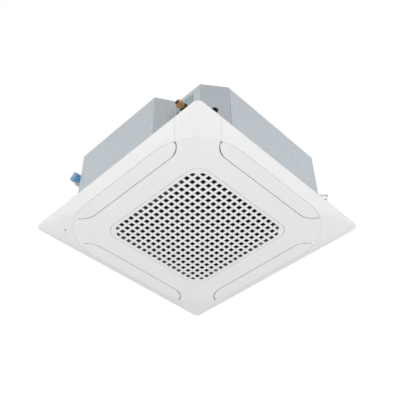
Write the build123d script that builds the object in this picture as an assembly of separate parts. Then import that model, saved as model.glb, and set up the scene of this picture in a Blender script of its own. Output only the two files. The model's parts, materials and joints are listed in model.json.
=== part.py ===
from build123d import *
import os
from math import cos, radians, sin, sqrt

# Ceiling cassette air conditioner. Millimetres, +Z up, origin at the middle of the
# panel on the ceiling's plane (z = 0). +X is the grille's latch side, -X its hinge side,
# the pipes leave at the (-X, -Y) corner and the drain at the (-X, +Y) corner.

# ---- casing -------------------------------------------------------------------------
BODY = 840.0              # casing, side to side
BODY_HEIGHT = 300.0       # casing, bottom to the beads on its top
BODY_BASE = 27.0          # casing's bottom above the ceiling plane
SHEET = 1.2               # galvanised sheet
CHAMFER_RIGHT = 125.0     # corner cut at (+X, -Y), along each side
CHAMFER_FAR = 130.0       # at (+X, +Y)
CHAMFER_DRAIN = 137.0     # at (-X, +Y)
# The pipe corner's outline, measured inward from the square corner it replaces.
NOTCH = [(0.0, 243.0), (83.0, 194.0), (83.0, 68.0), (174.0, 0.0)]
LAP = 21.0                # the corner panel's tongue behind the wrap
GROOVE_AT, GROOVE = 4.5, 2.0          # its other edge past the notch, and the groove to the wrap
GROOVE_FLANGE = 12.0      # flanges turned in at the groove
RETURN_FLANGE = 14.0
BEAD = 2.0                # height of the stiffening beads on the top
EPS = 20.0                # insulation thickness
EPS_CLEAR = 0.4

# ---- front panel --------------------------------------------------------------------
PANEL_OVERHANG = 55.0     # panel edge beyond the casing
PANEL_CORNER = 25.0
FACE_DEPTH = 25.0         # panel face below the ceiling
EDGE_DEPTH = 4.0          # height of the panel's outer edge
LIP = 10.0                # width of the edge on the ceiling
SKIN = 2.5                # moulded wall
RING_OUT = 10.0           # flat face's edge beyond the casing
RING_RADIUS = 230.0
VANE_WIDTH = 67.0         # ring to the vane's inner side
VANE_END = 118.0          # vane bay's half length is this less than half the casing
BAY_RADIUS = 86.0
FRAME_GAP = 2.5           # frame edge back from the bay line
VANE_GAP = 1.7            # vane edge in from the bay line
RING_GAP = 1.0            # vane to rim
SEAM = 0.3                # corner cover to its neighbours
BACK_PLATE = 3.0
DUCT_TOP = BODY_BASE - 3.0
SEAL_OVER = SHEET         # duct seals reach up past the casing's bottom flange
RIB = 2.0                 # rib round the grille's opening, and its distance from the edge
WINDOW_U, WINDOW_V = 546.5, 5.0       # receiver's window, on the drain corner's diagonal
BUTTON_V, BUTTON_R, BUTTON_TRAVEL = -9.0, 2.3, 1.0
BOARD_Z = -8.6            # underside of the receiver's board

# ---- vanes --------------------------------------------------------------------------
VANE_AXIS_IN = 45.0       # vane axis in from the ring
VANE_AXIS_UP = 6.0        # and above the face
VANE_CUT = 284.0          # vane plate's half length
SPINE_HALF = 258.0
WALL_IN, WALL_OUT = 266.0, 270.0      # duct end walls
VANE_PIN_R = 2.0
PIN_CLEAR = 0.05
MOTOR_CAN_R = 10.0        # vane motor
MOTOR_CAN_LENGTH = 17.0
MOTOR_OFFSET = 8.0        # its can's axis above its shaft

# ---- intake grille ------------------------------------------------------------------
GRILLE_MARGIN = 91.0      # vane bay's inner side to the grille's edge
GRILLE_RADIUS = 60.5
GRILLE_SEAM = 1.5
HOLE, PITCH = 18.8, 29.2
FIELD_MARGIN = 14.4       # grille edge to the field of holes
FIELD_RADIUS = 60.0
GRILLE_RIM = 9.0          # height of the rim flange from the face
HINGE_OUT = 8.5           # hinge axis out from the opening's edge
HINGE_UP = 5.5            # and above the face
HINGE_ARM = 10.5          # inside of the arms round the opening's edge, from the axis
ARM_THICK = 3.0
HINGE_PIN_R, HINGE_RING_R = 1.5, 2.8
PIN_GRIP = 0.02           # pin to the arms it turns with
EAR, KNUCKLE, KNUCKLE_CLEAR = 2.2, 4.8, 0.4
LATCH_TRAVEL = 8.0
LATCH_HALF = 12.1
LATCH_REACH = 6.0         # tongue over the frame's edge
FILTER_HALF_X, FILTER_HALF_Y = 229.0, 240.0
FILTER_RAIL, FILTER_DEPTH = 8.0, 5.0

# ---- air path and machinery ---------------------------------------------------------
PAN_HEIGHT = 55.0
SLOT_HALF = 256.0         # half length of the pan's air slots
SLOT_END = 19.0           # the slot beside the pipe corner ends this far from the notch
TROUGH_DEPTH = 18.0
COIL_DEPTH = 35.0
COIL_CORNER = 95.0
COIL_BACK = 18.0          # pan slot to the coil
COIL_CUT = 190.0          # coil ends, from the middle
ROW_PITCH, TUBE_PITCH, TUBE_R = 17.5, 21.0, 3.5
FAN_CLEAR = 50.0          # coil to the fan
FAN_BLADES = 7
SHAFT_R = 6.0
MOTOR_R = 75.0
LUG_R = 86.0              # fan motor's lugs
MOUTH_IN = 74.5           # bellmouth throat inside the fan's rim
GAS_PIPE_R, LIQUID_PIPE_R = 7.95, 4.75
GAS_DROP, LIQUID_DROP = 71.0, 137.0   # pipes below the top
GAS_NUT, LIQUID_NUT = (28.0, 33.0), (22.0, 25.0)      # across flats, length
PLUG_PROUD = 2.5
GASKET = 5.0
PUMP_U = 445.0            # pump's distance from the middle, on the drain corner's diagonal
FLOAT_V = -38.0           # float switch beside it
DRAIN_V = 46.0            # drain outlet beside it, on the other side
DRAIN_DROP = 111.0        # drain outlet below the top
SOCKET_R, SOCKET_BORE = 16.0, 12.0
SOCKET_LENGTH = 43.4      # from the wall along its axis
CAP_LENGTH, CAP_END = 24.0, 4.2
CAP_GRIPS = (190, 250)    # turns of the cap's two grips about its axis
WEB_DEEP = 37.0           # web under the socket, from its axis
FLOAT_TRAVEL = 12.0

# ---- hanging and fastening ----------------------------------------------------------
ROD_PITCH = 750.0         # hanging rods, along X and along Y
HANGER_UP = 138.0         # hanger tabs above the casing's bottom
LONG_TAB, SHORT_TAB = 35.0, 4.0       # tabs past the rods, away from and at the pipes and drain
TAB_LIP = 6.0             # lips turned down at the long tabs' ends
EAR_TAB = 9.0             # panel ears past their screws
HANGER_SHEET = 3.0
ROD_SLOT_R = 6.0
PRONG, SHORT_PRONG = 11.0, 5.0        # tab beside its slot
EAR_SCREW_SPAN = 744.0    # panel screws, along X and along Y
SCREW_R = 1.75
SCREW_CLEAR = 0.05

# ---- electrics ----------------------------------------------------------------------
BOX_DEEP, BOX_WIDE, BOX_HALF = 36.0, 62.0, 150.0

# ---- worked out ---------------------------------------------------------------------
half = BODY / 2
top = BODY_BASE + BODY_HEIGHT
plate_top = top - BEAD
wrap_top = plate_top - SHEET
slab_top = wrap_top - SHEET
slab_base = slab_top - EPS
panel_half = half + PANEL_OVERHANG
ring_half = half + RING_OUT
bay_inner = ring_half - VANE_WIDTH
bay_half = half - VANE_END
face = -FACE_DEPTH
skin_top = face + SKIN
vane_x = ring_half - VANE_AXIS_IN
vane_z = face + VANE_AXIS_UP
duct_inner = bay_inner - FRAME_GAP + 0.5
duct_top_in = duct_inner - 24.0
duct_top_out = duct_top_in + 62.0
slot_in, slot_out = duct_top_in + 1.0, duct_top_out - 4.0
notched_slot = half - NOTCH[0][1] - SLOT_END
grille_half = bay_inner - GRILLE_MARGIN
opening_half = grille_half + GRILLE_SEAM
field_half = grille_half - FIELD_MARGIN
hole_count = int((2 * field_half + PITCH - HOLE + 0.1) // PITCH)
hinge_x = -(opening_half + HINGE_OUT)
hinge_z = face + HINGE_UP
latch_x = PITCH * (hole_count - 1) / 2
latch_y = PITCH * (hole_count // 4 + 0.5)
hinge_y = PITCH * (hole_count // 3)
pan_base = BODY_BASE + SHEET
pan_top = BODY_BASE + PAN_HEIGHT
trough = pan_top - TROUGH_DEPTH
coil_out = slot_in - COIL_BACK
coil_in = coil_out - COIL_DEPTH
coil_top = slab_base - 1.0
fan_r = coil_in - FAN_CLEAR
fan_top = slab_base - 12.5
throat_r = fan_r - MOUTH_IN
mouth_half = coil_in - 24.0
mouth_z = BODY_BASE + 22.0
mouth_top = BODY_BASE + 90.0
motor_base = slab_base - 73.5
hub_z = motor_base - 22.0
lug_z = slab_base - 9.5
pipe_y = -half + 158.0
gas_z = top - GAS_DROP
liquid_z = top - LIQUID_DROP
gas_fitting = (gas_z, GAS_PIPE_R, *GAS_NUT)
liquid_fitting = (liquid_z, LIQUID_PIPE_R, *LIQUID_NUT)
notch_x = -half + NOTCH[1][0]
groove_x = -half + NOTCH[3][0] + GROOVE_AT
hanger_z = BODY_BASE + HANGER_UP
rod_u = ROD_PITCH / sqrt(2)
screw_u = EAR_SCREW_SPAN / sqrt(2)
drain_z = top - DRAIN_DROP
drain_wall = (2 * half - CHAMFER_DRAIN) / sqrt(2)
pump_top = drain_z - 56.0
rail_z = pump_top + 2.0
box_x1 = -(throat_r + 31.5)
box_x0 = box_x1 - BOX_WIDE
SIDES = range(4)
CORNERS = [45, 135, 225, 315]


# ---- helpers ------------------------------------------------------------------------
def block(x0, x1, y0, y1, z0, z1):
    """Box between two corners."""
    return Pos((x0 + x1) / 2, (y0 + y1) / 2, (z0 + z1) / 2) * Box(x1 - x0, y1 - y0, z1 - z0)


def prism(sketch, z0, z1):
    """A plan outline raised from z0 to z1."""
    return extrude(Pos(0, 0, z0) * sketch, amount=z1 - z0, dir=(0, 0, 1))


def plan(*points):
    """A straight-sided outline seen from above."""
    return make_face(Polyline(*points, close=True))


def bar(points, y0, y1):
    """An X-Z outline run along Y."""
    flat = Face(Wire.make_polygon([(x, y0, z) for x, z in points], close=True))
    return extrude(flat, amount=y1 - y0, dir=(0, 1, 0))


def turned(*points):
    """A radius-height outline turned about Z."""
    return revolve(Face(Wire.make_polygon([(r, 0, z) for r, z in points], close=True)), Axis.Z, 360)


def rod(x, y, radius, z0, z1):
    """Upright cylinder."""
    return Pos(x, y, (z0 + z1) / 2) * Cylinder(radius, z1 - z0)


def along_x(radius, x0, x1, y, z):
    """Cylinder along X."""
    return Pos((x0 + x1) / 2, y, z) * Rot(0, 90, 0) * Cylinder(radius, x1 - x0)


def along_y(radius, y0, y1, x, z):
    """Cylinder along Y."""
    return Pos(x, (y0 + y1) / 2, z) * Rot(90, 0, 0) * Cylinder(radius, y1 - y0)


def hexagon(across, height):
    """Upright hexagonal bar standing on z = 0."""
    return extrude(RegularPolygon(across / sqrt(3), 6), amount=height)


def tube(points, radius, bend, bore=0.0):
    """Pipe along straight runs joined by bends."""
    route = FilletPolyline(*points, radius=bend) if len(points) > 2 else Line(*points)
    ring = Circle(radius) - Circle(bore) if bore else Circle(radius)
    return sweep(Plane(origin=route @ 0, z_dir=route % 0) * ring, path=route)


def side(number, shape):
    """A shape made for the +X side, turned to another side."""
    return Rot(0, 0, 90 * number) * shape


def corner(angle, shape):
    """A shape made on +X, turned to a corner: u runs outward and v sideways."""
    return Rot(0, 0, angle) * shape


def group(shapes):
    """Separate solids kept in one sub-part."""
    return Compound([solid for shape in shapes for solid in shape.solids()])


def square(half_side, radius):
    return RectangleRounded(2 * half_side, 2 * half_side, radius)


# ---- outlines -----------------------------------------------------------------------
def casing_outline(inset=0.0):
    """Plan of the casing, with its cut corners and the pipe corner's notch."""
    notch = [(-half + x, -half + y) for x, y in NOTCH]
    outline = plan(
        (half - CHAMFER_RIGHT, -half), (half, -half + CHAMFER_RIGHT),
        (half, half - CHAMFER_FAR), (half - CHAMFER_FAR, half),
        (-half + CHAMFER_DRAIN, half), (-half, half - CHAMFER_DRAIN), *notch)
    return offset(outline, amount=-inset, kind=Kind.INTERSECTION) if inset else outline


def ring_outline(inset=0.0):
    """Edge of the panel's flat face."""
    return square(ring_half - inset, RING_RADIUS - inset)


def bay_outline(grow=0.0):
    """Bay of the vane on the +X side, running out past the panel."""
    width = 400.0
    return Pos(bay_inner - grow + width / 2, 0) * RectangleRounded(
        width, 2 * (bay_half + grow), BAY_RADIUS + grow)


def tip_spread():
    """|x - y| of the points where the bays meet the ring: the corner covers' half width."""
    away, arc = ring_half - RING_RADIUS, bay_inner + BAY_RADIUS
    dx, dy = arc - away, bay_half - BAY_RADIUS - away
    span = sqrt(dx * dx + dy * dy)
    near = (span * span + RING_RADIUS ** 2 - BAY_RADIUS ** 2) / (2 * span)
    high = sqrt(RING_RADIUS ** 2 - near ** 2)
    return (near * (dx - dy) - high * (dy + dx)) / span


cover_half = tip_spread() / sqrt(2)


# ---- panel --------------------------------------------------------------------------
def bulk():
    """Everything above the panel's outer skin, up to the ceiling plane."""
    slope = loft([Pos(0, 0, face) * ring_outline(),
                  Pos(0, 0, -EDGE_DEPTH) * square(panel_half, PANEL_CORNER)], ruled=True)
    return slope + prism(square(panel_half, PANEL_CORNER), -EDGE_DEPTH, 0)


def rim_shell():
    """The sloping rim with its edge, all the way round and across the corners."""
    slope = bulk()
    inner = square(panel_half - LIP, PANEL_CORNER - LIP)
    hollow = (Pos(0, 0, SKIN) * slope) & prism(inner, face, 5)
    return slope - hollow - prism(inner, -EDGE_DEPTH + SKIN, 5)


def cover_band(grow):
    """Upright block over one corner, between the seams."""
    wide = cover_half + grow
    return block(300, 2 * panel_half, -wide, wide, face - 5, 5)


def duct(trim):
    """Walls of one outlet duct, with the vane's bearings and motor seat."""
    inner = bar([(duct_inner - SKIN, skin_top - 1), (duct_inner, skin_top - 1),
                 (duct_inner, face + 11), (duct_top_in, DUCT_TOP),
                 (duct_top_in - SKIN, DUCT_TOP), (duct_inner - SKIN, face + 10.5)],
                -WALL_OUT, WALL_OUT)
    foot = ring_half + 0.5
    outer = bar([(foot, skin_top - 0.5), (foot + 3, skin_top), (duct_top_out + 3, DUCT_TOP),
                 (duct_top_out, DUCT_TOP)], -WALL_OUT, WALL_OUT) & trim
    end = [(duct_inner - 1, skin_top - 0.5), (vane_x - 12, skin_top - 0.5),
           (vane_x - 12, vane_z + 1.5), (vane_x + 7, vane_z + 1.5),
           (vane_x + 7, skin_top + 1), (foot - 0.5, skin_top + 1),
           (duct_top_out + 1, DUCT_TOP), (duct_top_in - 1, DUCT_TOP), (duct_inner - 1, face + 11)]
    boss, bore = 4.5, VANE_PIN_R + PIN_CLEAR
    walls = [bar(end, WALL_IN, WALL_OUT), bar(end, -WALL_OUT, -WALL_IN),
             along_y(boss, WALL_IN, WALL_OUT, vane_x, vane_z),
             along_y(boss, -WALL_OUT, -WALL_IN, vane_x, vane_z)]
    shape = inner + outer
    for wall in walls:
        shape += wall
    return shape - along_y(bore, -WALL_OUT - 5, WALL_OUT + 5, vane_x, vane_z)


def panel_frame(shell, trim):
    """One moulding: flat middle, four ducts, side rims, corner webs and the back ring."""
    middle = ring_outline() - square(opening_half, GRILLE_RADIUS + GRILLE_SEAM)
    for number in SIDES:
        middle -= side(number, bay_outline(FRAME_GAP))
    frame = prism(middle, face, skin_top)
    rim = shell - prism(ring_outline(), face - 5, 5)
    back = square(panel_half - LIP - 2, 20) - square(panel_half - 27, 20)
    arcs = prism(ring_outline() - ring_outline(SKIN), face, 0)
    webs = prism(square(panel_half - LIP - 2, 20) - ring_outline(), -BACK_PLATE, 0)
    for angle in CORNERS:
        band = corner(angle, cover_band(SEAM / 2))
        rim -= band
        frame += arcs & corner(angle, cover_band(0))
        frame += webs & corner(angle, cover_band(12))
    frame += rim
    frame += prism(back, -BACK_PLATE, 0)
    reach = panel_half - tip_spread() - 30
    for number in SIDES:
        frame += side(number, duct(trim))
        frame += side(number, block(panel_half - 30, panel_half - 5, -reach, reach, -BACK_PLATE, 0))
    frame += side(2, block(duct_top_in - 1, duct_top_out + 1, notched_slot + 4, WALL_OUT,
                           DUCT_TOP - SKIN, DUCT_TOP))
    for angle in CORNERS:
        frame -= corner(angle, rod(screw_u, 0, 3.3, -8, 5))
    return frame + opening_rib()


def opening_rib():
    """Rib round the grille's opening, with gaps for the hinges and the latches."""
    near, far = opening_half + RIB, opening_half + 2 * RIB
    ring = square(far, GRILLE_RADIUS + far - grille_half) - square(near, GRILLE_RADIUS + near - grille_half)
    rib = prism(ring, skin_top - 0.5, face + GRILLE_RIM)
    for y in (-hinge_y, hinge_y):
        rib -= block(-far - 1, -near + 1, y - 9, y + 9, face, 0)
    for y in (-latch_y, latch_y):
        rib -= block(near - 1, far + 1, y - 12, y + 12, face, 0)
    return rib


def corner_cover(shell, trim):
    """Snap-on cover of one corner, made on the diagonal."""
    band = cover_band(-SEAM / 2)
    skin = (Rot(0, 0, -45) * (shell - prism(ring_outline(-SEAM), face - 5, 5))) & band
    posts = [rod(590, v, 4, face + 5, -BACK_PLATE) & (Rot(0, 0, -45) * trim) for v in (-30, 30)]
    return skin + posts[0] + posts[1]


def receiver_cover(cover):
    """The cover at the drain corner, with the receiver's window, button guide and posts."""
    for u, v in ((541, -19), (557, 25)):
        cover += rod(u, v, 2.5, face + 6.5, BOARD_Z)
    cover += rod(WINDOW_U, BUTTON_V, BUTTON_R + 2.3, face + 6.5, face + 12)
    cover -= rod(WINDOW_U, BUTTON_V, BUTTON_R + 0.3, face - 5, 0)
    return cover - window_bar(0.0, face - 5, 0)


def window_bar(shrink, z0, z1):
    """Rounded bar of the receiver's window, and of its hole in the cover."""
    bar_plan = RectangleRounded(5 - 2 * shrink, 13 - 2 * shrink, 1.5)
    return prism(Pos(WINDOW_U, WINDOW_V) * bar_plan, z0, z1)


def receiver_window(trim):
    window = window_bar(0.15, face - 5, BOARD_Z - 0.3) & (Rot(0, 0, -45) * trim)
    return corner(135, window)


def run_button():
    """Round button in the cover's guide, clear of its switch by its travel."""
    return corner(135, rod(WINDOW_U, BUTTON_V, BUTTON_R, face + 3.9, BOARD_Z - BUTTON_TRAVEL - 0.3))


# ---- grille -------------------------------------------------------------------------
def grille_holes():
    """Square holes in rows, less the corner ones; those beside a corner follow its arc."""
    field = square(field_half, FIELD_RADIUS)
    last = hole_count - 1
    holes = []
    for i in range(hole_count):
        for j in range(hole_count):
            ends = (i in (0, last)) + (j in (0, last))
            if ends == 2:
                continue
            hole = Pos((i - last / 2) * PITCH, (j - last / 2) * PITCH) * Rectangle(HOLE, HOLE)
            beside = ends == 1 and (i in (1, last - 1) or j in (1, last - 1))
            holes.append(hole & field if beside else hole)
    return holes


def latch_rails():
    """Guides on the grille's back for one latch, made at y = 0."""
    rails = []
    for sign in (-1, 1):
        inside, outside = LATCH_HALF + 0.4, LATCH_HALF + 2.4
        low, high = sorted((sign * inside, sign * outside))
        rails.append(block(latch_x - 6, grille_half - 8, low, high, skin_top - 0.5, skin_top + 6.2))
        low, high = sorted((sign * (inside - 2), sign * outside))
        rails.append(block(latch_x - 6, grille_half - 8, low, high, skin_top + 4.7, skin_top + 6.2))
    return rails


def hinge_arm(low, high):
    """Arm from the grille's edge, up and over the frame's edge to the hinge pin."""
    near, far, half_stem = HINGE_ARM, HINGE_ARM + ARM_THICK, ARM_THICK / 2
    root = SKIN - HINGE_UP - 0.5
    arm = bar([(-half_stem, 0), (-half_stem, far), (far + 0.3, far), (far + 0.3, root), (near, root),
               (near, near), (half_stem, near), (half_stem, 0)], low, high)
    arm += along_y(HINGE_RING_R, low, high, 0, 0)
    return Pos(hinge_x, 0, hinge_z) * (arm - along_y(HINGE_PIN_R + PIN_GRIP, low - 1, high + 1, 0, 0))


def intake_grille():
    """Perforated plate with its rim, hinge arms and latch guides."""
    sheet = square(grille_half, GRILLE_RADIUS) - grille_holes()
    grille = prism(sheet, face, skin_top)
    rim = square(grille_half - 3.5, GRILLE_RADIUS - 3.5) - square(grille_half - 6, GRILLE_RADIUS - 6)
    grille += prism(rim, skin_top - 0.5, face + GRILLE_RIM)
    inner = KNUCKLE / 2 + KNUCKLE_CLEAR
    for y in (-hinge_y, hinge_y):
        grille += hinge_arm(y - inner - EAR, y - inner) + hinge_arm(y + inner, y + inner + EAR)
    for y in (-latch_y, latch_y):
        for rail in latch_rails():
            grille += Pos(0, y, 0) * rail
        grille -= block(grille_half - 12, grille_half - 1, y - LATCH_HALF - 0.4, y + LATCH_HALF + 0.4,
                        skin_top, skin_top + 4.7)
    return grille


def hinge_bracket(y):
    """Steel foot on the frame, with the hinge's knuckle on its edge."""
    low, up = y - KNUCKLE / 2, y + KNUCKLE / 2
    bracket = block(hinge_x - 38, hinge_x - 4, y - 8, y + 8, skin_top, skin_top + 2)
    bracket += block(hinge_x - 5, hinge_x, low, up, skin_top, hinge_z + HINGE_RING_R)
    bracket += along_y(HINGE_RING_R, low, up, hinge_x, hinge_z)
    return bracket - along_y(HINGE_PIN_R + PIN_CLEAR, low - 1, up + 1, hinge_x, hinge_z)


def hinge_pin(y):
    reach = KNUCKLE / 2 + KNUCKLE_CLEAR + EAR
    return along_y(HINGE_PIN_R, y - reach, y + reach, hinge_x, hinge_z)


def latch(y):
    """Finger latch: thumb tab in its hole, slide on the grille's back, tongue over the frame."""
    low, high = skin_top + 0.3, skin_top + 4.3
    body = block(latch_x - 10.5, grille_half - 1, y - LATCH_HALF, y + LATCH_HALF, low, high)
    body += block(grille_half - 2, opening_half + LATCH_REACH, y - 9, y + 9, low, low + 3)
    tab = HOLE / 2 - 0.5
    return body + block(latch_x + tab - 7.5, latch_x + tab, y - 8.6, y + 8.6, face + 0.4, low + 1)


def filter_frame():
    """Frame of the air filter, with cross ribs under the mesh."""
    outer = Rectangle(2 * FILTER_HALF_X, 2 * FILTER_HALF_Y)
    inner = Rectangle(2 * (FILTER_HALF_X - FILTER_RAIL), 2 * (FILTER_HALF_Y - FILTER_RAIL))
    frame = prism(outer - inner, skin_top, skin_top + FILTER_DEPTH)
    for row in (-1, 0, 1):
        at = row * 4 * PITCH
        frame += block(-FILTER_HALF_X + 1, FILTER_HALF_X - 1, at - 2, at + 2, skin_top, skin_top + 2)
        frame += block(at - 2, at + 2, -FILTER_HALF_Y + 1, FILTER_HALF_Y - 1, skin_top, skin_top + 2)
    return frame


def filter_mesh():
    gap = FILTER_RAIL + 0.2
    return block(-FILTER_HALF_X + gap, FILTER_HALF_X - gap, -FILTER_HALF_Y + gap,
                 FILTER_HALF_Y - gap, skin_top + 2, skin_top + 2.8)


# ---- vanes --------------------------------------------------------------------------
def vane():
    """Air vane of the +X side: plate, spine and pins."""
    outline = ring_outline(RING_GAP) & bay_outline(-VANE_GAP)
    outline &= Rectangle(4 * half, 2 * VANE_CUT)
    outline &= Pos(2 * half, 0) * Rectangle(4 * half, 4 * half)
    plate = prism(outline, face, skin_top)
    thin = face + 1.2
    for y0, y1 in ((SPINE_HALF + 3, VANE_CUT + 5), (-VANE_CUT - 5, -SPINE_HALF - 3)):
        plate -= block(vane_x - 10, vane_x + 12, y0, y1, thin, skin_top + 5)
    plate += block(vane_x - 5, vane_x + 5, -SPINE_HALF, SPINE_HALF, thin, vane_z + 3.5)
    return plate + along_y(VANE_PIN_R, -WALL_OUT + 0.3, WALL_OUT - 0.3, vane_x, vane_z)


def vane_motor():
    """Stepper motor outside the duct's end wall, its can above its shaft."""
    can_z = vane_z + MOTOR_OFFSET
    ear = block(vane_x - 21, vane_x + 21, WALL_OUT, WALL_OUT + 1, can_z - 3.5, can_z + 3.5)
    return ear + along_y(MOTOR_CAN_R, WALL_OUT, WALL_OUT + MOTOR_CAN_LENGTH, vane_x, can_z)


def duct_seal():
    """Foam strip between a duct's top and the drain pan."""
    middle = (duct_top_in - SKIN + duct_top_out + 3) / 2
    wide = duct_top_out + 3 - duct_top_in + SKIN
    ring = Pos(middle, 0) * (Rectangle(wide, 2 * WALL_OUT) - Rectangle(wide - 6, 2 * WALL_IN))
    return prism(ring, DUCT_TOP, BODY_BASE + SEAL_OVER)


def duct_seals():
    """The four seals, kept inside the casing's bottom flange."""
    inside = prism(casing_outline(RETURN_FLANGE + EPS_CLEAR), 0, top)
    return group([side(number, duct_seal()) & inside for number in SIDES])


# ---- casing -------------------------------------------------------------------------
def screw():
    """Washer-head screw along +X: head outside x = 0, shank inside."""
    head = along_x(4.5, 0, 1, 0, 0) + Rot(0, 90, 0) * hexagon(6, 3.2)
    return head + along_x(SCREW_R, -2 * SHEET + 0.1, 0.5, 0, 0)


def screw_places():
    """Where the pipe plate is screwed on."""
    places = []
    for y in (pipe_y - 44, pipe_y + 26):
        for z in (liquid_z - 12, gas_z + 36):
            places.append(Pos(notch_x - SHEET, y, z) * Rot(0, 0, 180))
    return places


def top_screw_places():
    """Screws down through the top plate into the flanges of the wrap and the corner panel."""
    edge = half - 8
    spots = [(edge, y) for y in (-200, 40, 240)] + [(-edge, y) for y in (-120, 60, 240)]
    spots += [(x, edge) for x in (-230, 0, 230)] + [(x, -edge) for x in (-120, 80, 250)]
    spots += [(notch_x + 8, pipe_y + 12), (notch_x + 8, pipe_y - 48)]
    return [Pos(x, y, plate_top) * Rot(0, -90, 0) for x, y in spots]


def drill(shape, places):
    """Screw holes through a sheet."""
    for place in places:
        shape -= place * along_x(SCREW_R + SCREW_CLEAR, -8, 8, 0, 0)
    return shape


def wall_ring():
    """Side wall of the casing, with return flanges at its bottom and top."""
    wall = casing_outline() - casing_outline(SHEET)
    flange = casing_outline() - casing_outline(RETURN_FLANGE)
    ring = prism(wall, BODY_BASE, wrap_top) + prism(flange, BODY_BASE, BODY_BASE + SHEET)
    return ring + prism(flange, wrap_top - SHEET, wrap_top)


def notch_zone():
    """Block round the pipe corner, where the corner panel takes over from the wrap."""
    return block(-half - 50, groove_x, -half - 50, -half + NOTCH[0][1], 0, top + 50)


def groove(grow=0.0):
    """Gap between the corner panel and the wrap; grown, its recess in the drain pan."""
    return block(groove_x - grow, groove_x + GROOVE + grow, -half - 5, -half + GROOVE_FLANGE + grow, 0, top + 50)


def groove_flange(x):
    """Edge turned in beside the groove."""
    return block(x, x + SHEET, -half + SHEET / 2, -half + GROOVE_FLANGE, BODY_BASE + SHEET / 2, slab_base - 1)


def tongue(grow=0.0):
    """The corner panel's edge tucked behind the wrap; grown, its recess in the foam."""
    start = -half + NOTCH[0][1]
    return block(-half + SHEET, -half + 2 * SHEET + grow, start - 0.5 - grow, start + LAP + grow,
                 BODY_BASE + SHEET + 0.2 - grow, wrap_top - SHEET - 0.2 + grow)


def drain_axis(shape):
    """A shape turned about Z, laid along the drain outlet's axis with z = 0 on the wall."""
    return corner(135, Pos(drain_wall, DRAIN_V, drain_z) * Rot(0, 90, 0) * shape)


def casing_wrap(ring):
    wrap = ring - notch_zone() - tongue() - groove() + groove_flange(groove_x + GROOVE)
    wrap -= drain_axis(Cylinder(SOCKET_R + 0.4, 60))
    return drill(wrap, screw_places() + top_screw_places())


def corner_panel(ring):
    """Notched panel at the pipes, behind the wrap at one end and flanged beside it at the other."""
    panel = (ring & notch_zone()) + tongue() + groove_flange(groove_x - SHEET)
    panel -= block(notch_x - 10, notch_x + 10, pipe_y - 26, pipe_y + 16, liquid_z - 16, gas_z + 22)
    panel -= grommet_place() * Cylinder(9.6, 30)
    return drill(panel, screw_places() + top_screw_places())


def grommet_place():
    """On the notch's slanted face, with z pointing out of the casing."""
    x0, y0 = -half + NOTCH[2][0], -half + NOTCH[2][1]
    dx, dy = NOTCH[3][0] - NOTCH[2][0], NOTCH[3][1] - NOTCH[2][1]
    long = sqrt(dx * dx + dy * dy)
    share = 56.0 / long
    return Location(Plane(origin=(x0 + share * dx, y0 + share * dy, hanger_z + 8),
                          z_dir=(dy / long, -dx / long, 0)))


def cable_grommet():
    """Rubber grommet, lips on both sides of the sheet and a cable hole."""
    return grommet_place() * turned((5, -5), (12, -5), (12, -SHEET), (9.4, -SHEET), (9.4, 0),
                                    (12.5, 0), (12.5, 3), (10.5, 5), (5, 5))


def casing_top():
    """Top plate with stiffening beads and the fan motor's studs."""
    plate = prism(casing_outline(), wrap_top, plate_top)
    bead = SlotOverall(250, 26)
    for angle in CORNERS:
        plate += prism(corner(angle, Pos(290, 0) * bead), plate_top - 0.5, top)
    plate += prism(Circle(130) - Circle(112), plate_top - 0.5, top)
    for angle in (90, 210, 330):
        x, y = LUG_R * cos(radians(angle)), LUG_R * sin(radians(angle))
        plate += rod(x, y, 5, slab_base + 4.4, wrap_top + 0.5)
        plate += rod(x, y, 3, slab_base - 24, slab_base + 5)
    return drill(plate, top_screw_places())


def pipe_plate():
    """Cover plate round the two pipes."""
    plate = block(notch_x - SHEET, notch_x, pipe_y - 50, pipe_y + 32, liquid_z - 20, gas_z + 46)
    plate -= along_x(GAS_PIPE_R + 0.3, notch_x - 20, notch_x + 20, pipe_y, gas_z)
    plate -= along_x(LIQUID_PIPE_R + 0.3, notch_x - 20, notch_x + 20, pipe_y, liquid_z)
    return drill(plate, screw_places())


def wall_bracket(angle, seat, past, z, thick, rise, half_width):
    """Bracket on a casing corner: upright flange on the wall and a flat tab out past its seat."""
    shell = casing_outline(-thick) - casing_outline()
    tip, root = seat + past, seat - 130
    tab = corner(angle, Pos((tip + root) / 2, 0) * Rectangle(tip - root, 2 * half_width)) - casing_outline()
    grip = corner(angle, Pos(seat - 50, 0) * Rectangle(120, 2 * half_width + 12)) & shell
    return prism(tab, z, z + thick) + prism(grip, *sorted((z, z + rise)))


def hanger_bracket(angle):
    """Bracket with a slot open outward for the rod, and lips at the end of a long tab."""
    long = angle in (45, 315)
    past = LONG_TAB if long else SHORT_TAB
    wide = ROD_SLOT_R + (PRONG if long else SHORT_PRONG)
    bracket = wall_bracket(angle, rod_u, past, hanger_z, HANGER_SHEET, -40, wide)
    if long:
        tip = rod_u + past
        bracket += corner(angle, block(tip - HANGER_SHEET, tip, -wide, wide, hanger_z - TAB_LIP, hanger_z + 1))
    slot = block(rod_u, rod_u + past + 5, -ROD_SLOT_R, ROD_SLOT_R, hanger_z - 10, hanger_z + 10)
    return bracket - corner(angle, slot + rod(rod_u, 0, ROD_SLOT_R, hanger_z - 5, hanger_z + 10))


def hanger_brackets():
    return group([hanger_bracket(angle) for angle in CORNERS])


def panel_ears():
    return group([wall_bracket(angle, screw_u, EAR_TAB, BODY_BASE, 2.5, 35, 14)
                  - corner(angle, rod(screw_u, 0, 3.05, BODY_BASE - 5, BODY_BASE + 10)) for angle in CORNERS])


def panel_screw():
    """Long screw from the frame's corner web up to the ear."""
    return rod(screw_u, 0, 3, -4, BODY_BASE + 6) + Pos(screw_u, 0, -7) * hexagon(10, 4)


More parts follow.
